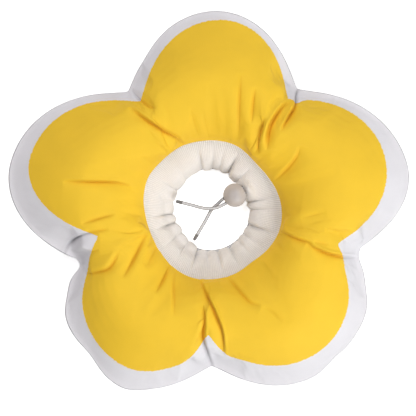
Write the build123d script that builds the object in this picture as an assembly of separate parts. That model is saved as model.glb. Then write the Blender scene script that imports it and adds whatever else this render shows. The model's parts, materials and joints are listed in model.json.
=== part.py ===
"""Soft five-petal recovery collar: stuffed cushion, ribbed neck cuff, draw cord and cord lock.

Frame: millimetres. The origin is on the neck axis, on the plane that the collar rests on.
+Z points out of the printed front, +Y runs through the tip of the second petal.
"""

from build123d import *
import math
import os

# ---- cushion -------------------------------------------------------------------------------
PETALS = 5
FIRST_PETAL_DEG = 18.0          # azimuth of petal 1, the others follow anticlockwise
PITCH_DEG = 360.0 / PETALS
LOBE_RADIUS = 70.0              # plan radius of one petal
LOBE_CENTRE = 90.0              # distance of a petal's centre from the neck axis
MID_Z = 22.0                    # height of the outer seam
PUFF = 23.5                     # crown of a petal above the outer seam
RING_RADIUS = 54.0              # seam where the neck cuff is sewn in
NOSE_LENGTH = 36.0              # radial length of the cushion's rounded inner edge
NOSE_HEIGHT = 26.0              # half height that this inner edge grows towards
COVER = 1.0                     # thickness of the cover fabric
FILL_GAP = 0.2                  # loose fit of the filling in its cover
SEAM_GAP = 0.1                  # gap between the front and the back panel
FILL_HOLE_RADIUS = 60.0         # the filling stops short of the neck seam
TOP_Z = 60.0                    # above everything, for cutting tools
FAR = 200.0                     # outside everything, for cutting tools

# ---- petal fold ------------------------------------------------------------------------------
FOLD_APOTHEM = 96.0             # fold lines form a pentagon through the five notches
FOLD_GAP = 0.2                  # on each side of the fold line
FOLD_MAX_DEG = 40.0
RELIEF_DEG = FOLD_MAX_DEG / 2 + 0.5   # slope of each side of the groove above the seam

# ---- neck cuff ---------------------------------------------------------------------------------
HEM_RADIUS = 30.5               # neck opening at rest
HEM_WIDTH = 7.0
HEM_HEIGHT = 7.0
HEM_ROUND = 1.0
FLANGE_RADIUS = 58.0            # seam allowance caught between the two covers
FLANGE = 1.0
FLANGE_GAP = 0.1
FLANGE_POCKET_RADIUS = 59.0
CUFF_TOP = (52.5, 47.0)         # radii of the upper surface at the seam and at the bend
CUFF_UNDER = (53.6, 49.0)       # radii of the lower surface at the seam and at the bend
CUFF_BEND_Z = (13.4, 11.2)      # heights of both surfaces at the bend
BEND_ROUND = 5.0

# ---- draw cord ---------------------------------------------------------------------------------
CORD_RADIUS = 1.25
CHANNEL_RADIUS = 34.0
CHANNEL_Z = HEM_HEIGHT / 2
CHANNEL_GAP = 0.25
LEAD_SPREAD = 2.2               # each lead's offset from the lock's own centre line
LEAD_BEND = 6.0
OUTLET_STEP = 3.0               # run of the bend from the channel up to the outlet

# ---- cord lock ---------------------------------------------------------------------------------
LOCK_DEG = 30.0                 # azimuth of the lock
LOCK_DISTANCE = 23.0
LOCK_Z = 17.5                   # height of the cord's passage
BALL_RADIUS = 9.5
BALL_CUT = 7.0                  # the ball is cut flat this far below its centre
RIM_ROUND = 0.4
BUTTON_RADIUS = 5.2
BUTTON_GAP = 0.08
BUTTON_STANDS_OUT = 4.0
BUTTON_TRAVEL = 3.0
BUTTON_ROUND = 1.4
PASSAGE_WIDTH = 7.2
PASSAGE_HEIGHT = 4.0
PASSAGE_ROUND = 1.4
PINCH_GAP = 0.1                 # the button holds the cord against the passage's floor
BELL_START = 4.5                # the mouth towards the hem widens from here
BELL_TAPER_DEG = 25.0
BUTTON_CAP = 1.5                # button material above the cord
POCKET_RADIUS = 3.6
POCKET_DEPTH = 1.75
STOP_GAP = 0.1
GATE_RADIUS = 0.9
GATE_DEPTH = 0.2
SPRING_RADIUS = 2.9
SPRING_WIRE = 0.22
SPRING_COILS = 3.5
SPRING_END_GAP = 0.05
# heights in the lock's own frame, from the centre line of the cord
PASSAGE_FLOOR = -CORD_RADIUS - PINCH_GAP
BUTTON_HOLE_TOP = CORD_RADIUS + PINCH_GAP
BUTTON_TOP = BUTTON_HOLE_TOP + BUTTON_CAP
SOCKET_TOP = BUTTON_TOP + BUTTON_TRAVEL + STOP_GAP
POCKET_TOP = SOCKET_TOP + POCKET_DEPTH

# ---- cord tails --------------------------------------------------------------------------------
TAIL_EXIT = 9.24                # the tails leave the lock this far from its centre
TAIL_CLEAR = 0.15
SLEEVE_RADIUS = 1.65
SLEEVE_LENGTH = 5.5
SLEEVE_CAP = 0.6
SLEEVE_FIT = 0.05
# way points after the exit from the lock; the last one is the end of the cord
TAIL_LEFT = [(5.0, 1.4, 17.0), (-4.0, 0.9, 16.6), (-16.0, 3.9, 15.4), (-27.4, 6.7, 14.4)]
TAIL_LOWER = [(6.6, 5.0, 14.4), (1.2, -0.4, 13.2), (-4.0, -9.6, 12.9), (-13.0, -24.8, 12.7)]


# ---- small helpers -----------------------------------------------------------------------------
def slab_between(z_low, z_high):
    """Everything between two heights."""
    return Pos(0, 0, (z_low + z_high) / 2) * Box(2 * FAR, 2 * FAR, z_high - z_low)


def turn(solid, degrees):
    return Rot(0, 0, degrees) * solid


def cord(path, radius):
    """A round cord along a smooth path."""
    section = Plane(origin=path @ 0, z_dir=path % 0) * Circle(radius)
    return sweep(section, path=path)


# ---- cushion -------------------------------------------------------------------------------------
def lobe(inset):
    """One puffed petal: a flat-bottomed ellipsoid, shrunk by inset on every side."""
    outline = Pos(0, MID_Z) * Ellipse(LOBE_RADIUS - inset, PUFF - inset)
    keep = Pos(FAR / 2, inset + TOP_Z / 2) * Rectangle(FAR, TOP_Z)
    return Pos(LOBE_CENTRE, 0, 0) * revolve(Plane.XZ * (outline & keep), Axis.Z)


def ring(inset):
    """The rounded inner edge that all petals share, around the neck."""
    nose_end = RING_RADIUS + NOSE_LENGTH
    half = NOSE_HEIGHT - inset
    nose = Pos(nose_end, MID_Z) * Ellipse(NOSE_LENGTH - inset, half)
    body = Pos(nose_end + FAR / 2, MID_Z) * Rectangle(FAR, 2 * half)
    return revolve(Plane.XZ * (nose + body), Axis.Z)


def groove_side(towards_neck):
    """Prism on one side of the fold line: upright below the seam, sloping away above it."""
    side = -1 if towards_neck else 1
    edge = FOLD_APOTHEM + side * FOLD_GAP
    far = 0.0 if towards_neck else FAR
    lean = side * (TOP_Z - MID_Z) * math.tan(math.radians(RELIEF_DEG))
    corners = [(far, -1), (edge, -1), (edge, MID_Z), (edge + lean, TOP_Z), (far, TOP_Z)]
    face = Plane.XZ * make_face(Polyline(*corners, close=True))
    return extrude(face, amount=FAR / 2, both=True)


def core_sector(inset):
    """The fifth of the cushion's body that belongs to one petal."""
    half_width = FAR * math.tan(math.radians(PITCH_DEG / 2))
    wedge_face = make_face(Polyline((0, 0), (FAR, -half_width), (FAR, half_width), close=True))
    wedge = extrude(wedge_face, amount=TOP_Z)
    return lobe(inset) & ring(inset) & groove_side(True) & wedge


def core_cushion(inset):
    """The body of the cushion: five sectors in one solid."""
    sector = core_sector(inset)
    body = sector
    for k in range(1, PETALS):
        body = body + turn(sector, k * PITCH_DEG)
    return turn(body, FIRST_PETAL_DEG)


def petal_cushion(inset):
    """The part of one petal outside its fold line, on the +X side."""
    return lobe(inset) & groove_side(False)


def covers_of(outer, inner):
    """Front and back panel of a stuffed body."""
    shell = outer - inner
    front = shell & slab_between(MID_Z + SEAM_GAP / 2, TOP_Z)
    back = shell & slab_between(-TOP_Z, MID_Z - SEAM_GAP / 2)
    return front, back


# ---- neck cuff -----------------------------------------------------------------------------------
def rounded(face, corner, radius):
    """Round the one vertex of a face that lies nearest to a corner."""
    vertex = min(face.vertices(), key=lambda v: (v.X - corner[0]) ** 2 + (v.Y - corner[1]) ** 2)
    return fillet(vertex, radius)


def neck_cuff(cord_passage):
    """Folded rib knit: seam allowance, sloping band and a hem that hides the draw cord."""
    hem_outer = HEM_RADIUS + HEM_WIDTH
    top_bend = (CUFF_TOP[1], CUFF_BEND_Z[0])
    under_bend = (CUFF_UNDER[1], CUFF_BEND_Z[1])
    hem_corner = (HEM_RADIUS, HEM_HEIGHT)
    corners = [
        (FLANGE_RADIUS, MID_Z + FLANGE / 2),
        (CUFF_TOP[0], MID_Z + FLANGE / 2),
        top_bend,
        (hem_outer, HEM_HEIGHT),
        hem_corner,
        (HEM_RADIUS, 0),
        (hem_outer, 0),
        (hem_outer, CHANNEL_Z),
        under_bend,
        (CUFF_UNDER[0], MID_Z - FLANGE / 2),
        (FLANGE_RADIUS, MID_Z - FLANGE / 2),
    ]
    face = make_face(Polyline(*corners, close=True))
    face = rounded(face, top_bend, BEND_ROUND)
    face = rounded(face, under_bend, BEND_ROUND)
    face = rounded(face, hem_corner, HEM_ROUND)
    return revolve(Plane.XZ * face, Axis.Z) - cord_passage


# ---- draw cord -------------------------------------------------------------------------------------
def lock_frame(distance, aside, z):
    """A point given along and across the lock's own radial line."""
    angle = math.radians(LOCK_DEG)
    x = distance * math.cos(angle) - aside * math.sin(angle)
    y = distance * math.sin(angle) + aside * math.cos(angle)
    return Vector(x, y, z)


def lead(side):
    """Half of the draw cord's path: from inside the lock over the hem and down to its channel."""
    aside = side * LEAD_SPREAD
    inner_end = LOCK_DISTANCE - TAIL_EXIT + CORD_RADIUS + TAIL_CLEAR
    bend_start = CHANNEL_RADIUS - LEAD_BEND
    bend_mid = bend_start + LEAD_BEND * math.sin(math.pi / 4)
    bend_mid_z = LOCK_Z - LEAD_BEND * (1 - math.cos(math.pi / 4))
    straight = Line(lock_frame(inner_end, aside, LOCK_Z), lock_frame(bend_start, aside, LOCK_Z))
    over_hem = ThreePointArc(
        straight @ 1,
        lock_frame(bend_mid, aside, bend_mid_z),
        lock_frame(CHANNEL_RADIUS, aside, LOCK_Z - LEAD_BEND),
    )
    down = Line(over_hem @ 1, lock_frame(CHANNEL_RADIUS, aside, CHANNEL_Z + OUTLET_STEP))
    start = channel_start_deg(side)
    tangent = Vector(-math.sin(math.radians(start)), math.cos(math.radians(start)), 0) * side
    into_channel = Spline(down @ 1, channel_point(start), tangents=[(0, 0, -1), tangent])
    return [straight, over_hem, down, into_channel]


def channel_start_deg(side):
    """Azimuth where the cord joins its channel, on either side of the lock."""
    return LOCK_DEG + side * math.degrees((LEAD_SPREAD + OUTLET_STEP) / CHANNEL_RADIUS)


def channel_point(degrees):
    angle = math.radians(degrees)
    return Vector(CHANNEL_RADIUS * math.cos(angle), CHANNEL_RADIUS * math.sin(angle), CHANNEL_Z)


def draw_cord(radius):
    """The elastic cord: round the hem in its channel, with both ends led up into the lock."""
    first = channel_start_deg(1)
    last = channel_start_deg(-1) + 360
    loop = CenterArc((0, 0, CHANNEL_Z), CHANNEL_RADIUS, first, last - first)
    solid = cord(loop, radius)
    for side in (1, -1):
        solid = solid + cord(Wire(lead(side)), radius)
    return solid


# ---- cord lock ---------------------------------------------------------------------------------------
def at_lock(solid):
    """Move a solid from the lock's own frame, with X along the cord towards the hem."""
    centre = lock_frame(LOCK_DISTANCE, 0, LOCK_Z)
    return Pos(centre.X, centre.Y, centre.Z) * Rot(0, 0, LOCK_DEG) * solid


def passage(z_low, z_high):
    """A rounded slot through the whole lock, along the cord."""
    height = z_high - z_low
    slot = RectangleRounded(PASSAGE_WIDTH, height, PASSAGE_ROUND)
    centre = Plane(origin=(0, 0, (z_low + z_high) / 2), x_dir=(0, 1, 0), z_dir=(1, 0, 0))
    return extrude(centre * slot, amount=2 * BALL_RADIUS, both=True)


def lock_housing():
    """Ball with a socket for the button, a spring pocket above it and a passage for the cord."""
    ball = Sphere(BALL_RADIUS) & slab_between(-BALL_CUT, BALL_RADIUS)
    rim = ball.edges().sort_by(Axis.Z)[0]
    ball = fillet(rim, RIM_ROUND)
    socket_height = SOCKET_TOP + BALL_CUT
    socket = Pos(0, 0, SOCKET_TOP - socket_height / 2) * Cylinder(
        BUTTON_RADIUS + BUTTON_GAP, socket_height
    )
    pocket = Pos(0, 0, POCKET_TOP - POCKET_DEPTH / 2) * Cylinder(POCKET_RADIUS, POCKET_DEPTH)
    bore = passage(PASSAGE_FLOOR, PASSAGE_FLOOR + PASSAGE_HEIGHT)
    mouth_plane = Plane(
        origin=(BELL_START, 0, PASSAGE_FLOOR + PASSAGE_HEIGHT / 2), x_dir=(0, 1, 0), z_dir=(1, 0, 0)
    )
    mouth = extrude(
        mouth_plane * RectangleRounded(PASSAGE_WIDTH, PASSAGE_HEIGHT, PASSAGE_ROUND),
        amount=BALL_RADIUS - BELL_START + 1,
        taper=-BELL_TAPER_DEG,
    )
    gate = Pos(0, 0, BALL_RADIUS) * Cylinder(GATE_RADIUS, 2 * GATE_DEPTH)
    nub = Pos(0, 0, BALL_RADIUS - GATE_DEPTH) * Cylinder(GATE_RADIUS / 3, 2 * GATE_DEPTH)
    return at_lock(ball - socket - pocket - bore - mouth - gate + nub)


def lock_button():
    """Plunger with a cross hole for the cord; its rounded end stands out below the ball."""
    bottom = -BALL_CUT - BUTTON_STANDS_OUT
    height = BUTTON_TOP - bottom
    plunger = Pos(0, 0, bottom + height / 2) * Cylinder(BUTTON_RADIUS, height)
    plunger = fillet(plunger.edges().sort_by(Axis.Z)[0], BUTTON_ROUND)
    hole_floor = PASSAGE_FLOOR - BUTTON_TRAVEL - STOP_GAP / 2
    return at_lock(plunger - passage(hole_floor, BUTTON_HOLE_TOP))


def lock_spring():
    """Compression spring between the button and the end of the spring pocket."""
    low = BUTTON_TOP + SPRING_WIRE + SPRING_END_GAP
    high = POCKET_TOP - SPRING_WIRE - SPRING_END_GAP
    height = high - low
    coil = Helix(pitch=height / SPRING_COILS, height=height, radius=SPRING_RADIUS, center=(0, 0, low))
    section = Plane(origin=coil @ 0, z_dir=coil % 0) * Circle(SPRING_WIRE)
    return at_lock(sweep(section, path=coil, is_frenet=True))


# ---- cord tails ----------------------------------------------------------------------------------------
def tail_path(side, way_points):
    """From the lock's mouth over the way points, with a straight end for the sleeve."""
    start = lock_frame(LOCK_DISTANCE - TAIL_EXIT, side * LEAD_SPREAD, LOCK_Z)
    points = [start] + [Vector(*p) for p in way_points]
    last_run = (points[-1] - points[-2]).normalized()
    sleeve_start = points[-1] - last_run * SLEEVE_LENGTH
    first_run = (points[1] - points[0]).normalized()
    curve = Spline(*points[:-1], sleeve_start, tangents=[first_run, last_run])
    return Wire([curve, Line(sleeve_start, points[-1])])


def cord_tail(side, way_points):
    """A free end of the cord, round at the lock so that it can swing there."""
    path = tail_path(side, way_points)
    start = path @ 0
    return cord(path, CORD_RADIUS) + Pos(start.X, start.Y, start.Z) * Sphere(CORD_RADIUS)


def end_sleeve(side, way_points):
    """Closed plastic sleeve over the end of a tail."""
    path = tail_path(side, way_points)
    frame = Plane(origin=path @ 1, z_dir=(path % 1) * -1)
    length = SLEEVE_LENGTH - 0.5
    closed_end = SLEEVE_CAP + SLEEVE_FIT
    body = Pos(0, 0, (length - closed_end) / 2) * Cylinder(SLEEVE_RADIUS, length + closed_end)
    body = fillet(body.edges().sort_by(Axis.Z)[0], SLEEVE_CAP)
    bore_length = length + SLEEVE_FIT
    bore = Pos(0, 0, bore_length / 2 - SLEEVE_FIT) * Cylinder(CORD_RADIUS + SLEEVE_FIT, bore_length)
    return frame * (body - bore)


# ---- assembly ----------------------------------------------------------------------------------------
def build_parts():
    parts = {}
    cuff_pocket = Pos(0, 0, MID_Z) * Cylinder(FLANGE_POCKET_RADIUS, FLANGE + 2 * FLANGE_GAP)
    front, back = covers_of(core_cushion(0), core_cushion(COVER))
    parts["core_front_cover"] = front - cuff_pocket
    parts["core_back_cover"] = back - cuff_pocket
    neck_clear = Cylinder(FILL_HOLE_RADIUS, 2 * TOP_Z)
    parts["core_filling"] = core_cushion(COVER + FILL_GAP) - neck_clear

    front, back = covers_of(petal_cushion(0), petal_cushion(COVER))
    filling = petal_cushion(COVER + FILL_GAP)
    for k in range(PETALS):
        azimuth = FIRST_PETAL_DEG + k * PITCH_DEG
        name = f"petal_{k + 1}"
        parts[f"{name}_front_cover"] = turn(front, azimuth)
        parts[f"{name}_back_cover"] = turn(back, azimuth)
        parts[f"{name}_filling"] = turn(filling, azimuth)

    parts["neck_cuff"] = neck_cuff(draw_cord(CORD_RADIUS + CHANNEL_GAP))
    parts["draw_cord"] = draw_cord(CORD_RADIUS)

    parts["lock_housing"] = lock_housing()
    parts["lock_button"] = lock_button()
    parts["lock_spring"] = lock_spring()

    parts["tail_left_cord"] = cord_tail(-1, TAIL_LEFT)
    parts["tail_left_sleeve"] = end_sleeve(-1, TAIL_LEFT)
    parts["tail_lower_cord"] = cord_tail(1, TAIL_LOWER)
    parts["tail_lower_sleeve"] = end_sleeve(1, TAIL_LOWER)
    return parts


os.makedirs("parts", exist_ok=True)
for node, solid in build_parts().items():
    export_step(solid, f"parts/{node}.step")
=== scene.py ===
"""Soft five-petal recovery collar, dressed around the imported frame.

Everything is in the frame's own axes: +Z points out of the printed front, the collar lies on z = 0.
Lengths named ..._MM are millimetres, everything handed to Blender is metres.
"""

import json
import math

import bpy
import numpy as np
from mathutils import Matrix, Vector


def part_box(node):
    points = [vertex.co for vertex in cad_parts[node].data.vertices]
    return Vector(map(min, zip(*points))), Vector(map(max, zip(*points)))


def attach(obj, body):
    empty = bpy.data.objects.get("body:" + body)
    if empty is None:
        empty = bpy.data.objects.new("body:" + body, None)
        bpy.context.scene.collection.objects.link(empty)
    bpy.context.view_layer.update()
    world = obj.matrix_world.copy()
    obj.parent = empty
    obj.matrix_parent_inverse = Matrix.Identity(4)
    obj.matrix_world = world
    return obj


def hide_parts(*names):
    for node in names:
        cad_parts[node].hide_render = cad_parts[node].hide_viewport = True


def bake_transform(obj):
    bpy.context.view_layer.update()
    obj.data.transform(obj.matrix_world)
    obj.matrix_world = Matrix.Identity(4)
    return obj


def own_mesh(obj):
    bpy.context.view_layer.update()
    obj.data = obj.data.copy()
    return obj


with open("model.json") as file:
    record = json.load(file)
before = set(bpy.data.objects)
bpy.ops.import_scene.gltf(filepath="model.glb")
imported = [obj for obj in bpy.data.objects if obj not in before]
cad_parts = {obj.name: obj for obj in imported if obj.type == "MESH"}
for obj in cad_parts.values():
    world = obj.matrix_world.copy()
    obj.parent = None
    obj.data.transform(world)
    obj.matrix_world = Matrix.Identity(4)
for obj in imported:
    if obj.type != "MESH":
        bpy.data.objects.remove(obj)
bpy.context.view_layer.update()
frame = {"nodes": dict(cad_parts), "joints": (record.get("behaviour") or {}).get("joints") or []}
scene = bpy.context.scene
nodes = frame["nodes"]
joints = {j["name"]: j for j in frame["joints"]}
MM = 0.001

# ---- places taken from the frame ----
SEAM_Z_MM = joints["petal_1_fold"]["pos_m"][2] / MM
PETALS = 5

# ---- outline of the cushion, seen along Z: azimuth in degrees, reach in millimetres ----
TIPS = [(12.8, 161.0), (87.3, 159.0), (167.6, 164.0), (239.1, 158.0), (304.8, 158.0)]
NOTCHES = [(-14.4, 125.2), (54.1, 119.5), (124.9, 115.3), (200.1, 117.0), (270.7, 125.5)]
ROUND_IN, ROUND_OUT = 1.95, 1.31
PRINT_TIPS = [(18.3, 145.7), (85.5, 151.9), (163.5, 149.5), (240.1, 142.5), (309.1, 142.8)]
PRINT_NOTCHES = [(-15.1, 107.0), (54.8, 108.0), (122.8, 104.5), (193.4, 91.5), (269.3, 104.0)]
PRINT_IN, PRINT_OUT = 2.0, 1.24
RING_MM = 54.0                 # neck seam

# ---- cloth of the cushion ----
COLUMNS = 64                   # grid columns per petal
ROWS = 28
FINER_COLUMNS = 5
FINER_ROWS = 4
PATTERN_GROWTH = 1.05          # the flat pattern is larger than the stuffed cushion
PATTERN_RING_MM = 57.0         # and is gathered into the neck seam
SIM_FRAMES = 38
SIM_SCALE = 0.01               # one simulation unit is 100 mm
SIM_VOLUME = 1.6               # cubic simulation units that the filling wants
SIM_BEND = 1.0
SIM_STRETCH = 15.0
START_RISE_MM = 4.0            # how far apart the sheets start
FLAT_RISE_MM = 0.05
PUFF_SCALE = 0.98
CREASES_KEPT = 0.11
TENT_KEPT = 0.15
# the creases fade towards the neck seam and the edge: way from the seam to the edge, share kept
CREASE_FADE = [(0.0, 0.5), (0.2, 1.0), (0.7, 1.0), (0.88, 0.15), (1.0, 0.1)]
CREST_SKEW = 0.87
DOME_NECK_POWER = 0.85
DOME_EDGE_POWER = 1.45
CALM_COLUMNS = 5.0
REACH_WINDOW = 1.6             # degrees either side in which the cushion's reach is looked for
REACH_SPREAD = 1.5
NORMAL_COLUMNS = 15.0
UPWARD_SHARE = 0.6
SETTLE_MM = 80.0               # inside this radius the cushion follows the rim of the cuff
TABLE_SOFTNESS_MM = 2.0
# soft dents (positive) and bulges in the edge: azimuth, depth (mm), half width before and after it (degrees)
EDGE_DENTS = [
    (113, 1.6, 7, 5), (203.6, 7.0, 3.6, 2.2), (216, -3.4, 5, 6), (230.5, 4.4, 6, 6), (245, -2.2, 5, 5),
    (310, 2.2, 5, 4), (327, -3.7, 8, 6), (342, 2.8, 3, 3.5), (4, -1.5, 14, 16),
]
EDGE_FADE_MM = 20.0            # the cushion follows its trimmed edge over this distance
EDGE_FADE_POWER = 1.5
# the same in the edge of the print
PRINT_DENTS = [
    (51, 4.0, 1.6, 1.6), (120, 2.0, 18, 24), (207, 3.2, 5, 6), (268.5, 4.4, 2.6, 3.4), (277, -2.4, 3, 4),
    (261, -2.2, 5, 3), (336, 2.4, 6, 3), (345, 2.0, 4, 8),
]

# ---- folds in the cover ----
# path from one end to the other (mm), depth, width on the left and on the right,
# height of the ridge beside the narrow side
FOLDS = [
    ([(-20, 51), (-25, 55), (-34, 60), (-41, 64.5), (-49, 70), (-58, 77), (-64, 82)], 4.4, 4.5, 0.9, 0.9),
    ([(-21, 52), (-26, 58.5), (-33, 61.5), (-40, 67), (-46, 73)], 2.0, 0.9, 2.5, 0.4),
    ([(-42, 80), (-48, 81.5), (-54, 86), (-58, 89), (-63, 95)], 2.6, 1.0, 3.0, 0.5),
    ([(43, 73), (39.4, 62), (37.4, 52), (38, 44)], 3.6, 1.5, 3.6, 0.5),
    ([(64, 86), (58, 82), (50.4, 71.6), (46.0, 60.8), (44.8, 47)], 5.8, 5.0, 1.2, 1.2),
    ([(71, 92), (67.2, 81.2), (63, 74.5), (56, 62)], 4.6, 4.0, 0.9, 1.0),
    ([(74, 100), (69.6, 93), (68, 84)], 3.0, 3.0, 0.8, 0.4),
    ([(36, 97), (34, 83), (32.5, 68)], 3.0, 3.4, 2.8, 0.2),
    ([(25, 108), (23, 85), (22, 58)], 2.8, 4.5, 2.8, 0.2),
    ([(-16, 82), (-12.5, 68), (-8, 55)], 1.0, 4.0, 2.0, 0.2),
    ([(-6, 78), (-1, 56)], 0.8, 4.0, 2.0, 0.2),
    ([(50, 22), (60, 31), (68, 41), (71, 50)], 3.0, 1.2, 5.0, 0.3),
    ([(56, -18), (66.6, -22.6), (82, -27.5)], 3.0, 1.0, 3.5, 1.0),
    ([(76, -27), (88, -33), (97, -36), (108, -38), (118, -38)], 4.0, 0.9, 4.5, 1.4),
    ([(82, -25), (94, -28)], 1.4, 2.0, 3.0, 0.3),
    ([(72, -6.5), (92, -2)], 1.2, 3.0, 4.0, 0.2),
    ([(-9, -54), (-1.4, -71), (5.4, -85.8), (9.4, -98), (11, -116)], 4.2, 0.9, 5.0, 1.4),
    ([(-6, -74), (-4.8, -90), (-5.4, -104), (-2, -115), (3, -130)], 4.2, 1.0, 2.4, 0.6),
    ([(13, -53), (22.6, -63), (31, -72.6), (40, -76)], 2.6, 1.2, 4.5, 0.6),
    ([(42, -77), (48, -80.5), (57, -89)], 1.2, 2.0, 4.0, 0.3),
    ([(-27.5, -48), (-28.5, -62), (-28.5, -84)], 2.2, 5.0, 1.6, 0.3),
    ([(-31, -43), (-36.5, -55), (-43, -66)], 3.2, 2.0, 4.0, 0.3),
    ([(-41, -27), (-45, -36), (-50, -46)], 1.8, 2.0, 3.0, 0.3),
    ([(-49, -17), (-55, -30), (-60, -39.5), (-69, -54)], 3.8, 2.0, 5.0, 0.4),
    ([(-71, -32), (-76.5, -42), (-83, -48), (-100, -52)], 3.6, 4.0, 1.8, 0.4),
    ([(-80, -15.4), (-90, -17.4), (-98, -18.4)], 1.8, 1.3, 2.5, 0.2),
    (
        [(-88, -19), (-98.4, -19.6), (-107.2, -23.1), (-112, -26.8), (-115.4, -33), (-117, -44)],
        3.6, 9.0, 0.7, 0.4,
    ),
    ([(-116, 22), (-92, 21.6), (-74, 21), (-62, 18)], 3.2, 0.9, 3.2, 0.8),
    ([(-102, -11.4), (-90, -8), (-75, -3.4)], 2.4, 3.5, 1.3, 0.2),
]
# the cover lies smooth just inside the notches:
# how far inside and around, and over how many columns it is averaged
SMOOTH_INSIDE_MM = 11.0
SMOOTH_RADIUS_MM = 13.0
SMOOTH_COLUMNS = 9.0
SMOOTH_EDGE_SHARE = 0.12
RIDGE_GAP_MM = 0.6
RIDGE_PLACE = 1.6
RIDGE_WIDTH = 0.75
FOLD_REACH_MM = 26.0
FOLD_TAPER = 0.7
FOLD_ROOM = 0.8               # a fold goes at most this share of the way through the cushion
LEAST_ROOM_MM = 0.05
CREASE_SHADE_MM = 1.6                # half width of the line of painted shade at the bottom of a fold

# ---- neck cuff ----
RIBS = 220
RIB_SAMPLES = 6
RIB_MM = 0.2
RIB_AT_HEM = 0.3
# upper surface from the seam to the hem and back under it:
# radius, height (mm), share of the gathers' depth, share of the dip
CUFF_PROFILE = [
    (57.0, 21.6, 0.0, 0.0), (55.0, 22.4, 0.0, 0.0), (53.2, 20.8, 0.05, 0.0), (50.6, 18.9, 0.15, 0.0),
    (46.5, 17.8, 0.4, 0.0), (41.5, 17.0, 0.75, 0.22), (37.0, 15.6, 1.0, 1.0), (33.4, 12.8, 1.0, 0.70),
    (31.2, 9.6, 0.9, 0.42), (30.4, 6.2, 0.7, 0.25), (30.7, 2.6, 0.5, 0.1), (33.0, 0.8, 0.3, 0.0),
    (37.4, 1.0, 0.2, 0.0), (41.0, 4.4, 0.1, 0.0), (47.8, 11.0, 0.0, 0.0), (51.4, 16.0, 0.0, 0.0),
    (54.0, 19.8, 0.0, 0.0),
]
# the hem dips where the ends of the cord pass over it: azimuth (degrees), depth (mm)
DIP = [
    (0, 0.0), (40, 0.0), (80, 0.0), (120, 0.0), (143, 0.0), (160, 4.6), (185, 4.9), (205, 5.4),
    (222, 6.4), (242, 6.5), (262, 6.2), (282, 0.6), (300, 0.0), (330, 0.0),
]
HEM_MM = 30.4
RIM_MM = 55.0
CUFF_LOWEST_MM = 0.15
GATHER_POWER = 1.3
EASE_POWER = 1.5
# the hem and the rim are not quite round: azimuth (degrees), radius (mm)
HEM = [
    (0, 31.8), (11, 29.4), (30, 30.0), (48, 29.8), (66, 31.0), (80, 32.2), (97, 32.0), (119, 31.6),
    (132, 30.0), (157, 29.8), (178, 29.6), (196, 28.6), (210, 27.8), (224, 29.0), (243, 30.8),
    (254, 32.6), (275, 33.2), (299, 33.6), (314, 33.0), (332, 32.0), (348, 32.6),
]
RIM = [
    (1, 57.0), (15, 55.2), (30, 52.9), (46, 52.0), (68, 54.9), (83, 55.2), (97, 55.0), (112, 55.2),
    (135, 54.6), (153, 55.4), (172, 53.4), (188, 51.4), (212, 51.2), (237, 54.2), (254, 56.0),
    (267, 55.8), (291, 54.9), (308, 53.4), (326, 55.9), (344, 57.8),
]
# gathers: azimuth (degrees), depth (mm), half width before and after it (degrees)
GATHERS = [
    (101, 3.4, 1.8, 5.0), (87, 3.0, 4.0, 1.8), (77, 1.8, 2.5, 3.5), (63, 4.6, 2.0, 4.5),
    (46, 1.8, 3.0, 2.0), (10, 3.4, 2.0, 4.5), (0, 2.4, 3.5, 2.0), (-21, 4.4, 5.0, 2.0),
    (-36, 2.6, 2.0, 4.5), (-48, 1.8, 3.0, 2.0), (-63, 3.6, 2.2, 5.0), (-79, 3.2, 4.0, 1.8),
    (-93, 2.2, 2.5, 3.5), (-107, 3.8, 1.8, 5.0), (-124, 2.4, 3.5, 2.0), (-141, 2.6, 2.0, 4.5),
    (-160, 4.4, 2.0, 5.0), (-173, 3.4, 3.5, 2.0), (168, 1.8, 2.0, 4.5), (150, 2.4, 4.0, 2.5),
    (128, 1.6, 3.0, 4.5),
]
# knit bunched up where the cords come out of the channel
BUNCH_AZIMUTH = 29.0
BUNCH_HALF = 10.0
BUNCH_R_MM = 34.5
BUNCH_WIDTH_MM = 3.6
BUNCH_RISE_MM = 7.0


# ---- outline formula ----
def reach(azimuth_deg, tips, notches, power_in, power_out):
    """Distance of a petalled outline from the neck axis, for an array of azimuths."""
    azimuth_deg = np.asarray(azimuth_deg, float)
    out = np.zeros_like(azimuth_deg)
    for k, (tip, tip_reach) in enumerate(tips):
        low, low_reach = notches[k]
        high, high_reach = notches[(k + 1) % PETALS]
        span = (high - low) % 360
        u = ((azimuth_deg - low) % 360) / span
        peak = (tip - low) % 360 / span
        inside = u < 1
        before = u < peak
        away = np.where(before, (peak - u) / peak, (u - peak) / (1 - peak))
        base = np.where(before, low_reach, high_reach)
        rise = np.clip(1 - np.abs(away) ** power_in, 0, 1) ** power_out
        out = np.where(inside, base + (tip_reach - base) * rise, out)
    return out


def outline(azimuth_deg):
    return reach(azimuth_deg, TIPS, NOTCHES, ROUND_IN, ROUND_OUT)


def dented(azimuth_deg, dents):
    """How far a list of soft dents moves an edge inwards, for an array of azimuths."""
    inwards = np.zeros_like(azimuth_deg)
    for place, deep, before, after in dents:
        apart = (azimuth_deg - place + 180) % 360 - 180
        inwards += deep * np.exp(-((apart / np.where(apart < 0, before, after)) ** 2))
    return inwards


def print_edge(azimuth_deg):
    edge = reach(azimuth_deg, PRINT_TIPS, PRINT_NOTCHES, PRINT_IN, PRINT_OUT)
    return edge - dented(azimuth_deg, PRINT_DENTS)


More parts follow.
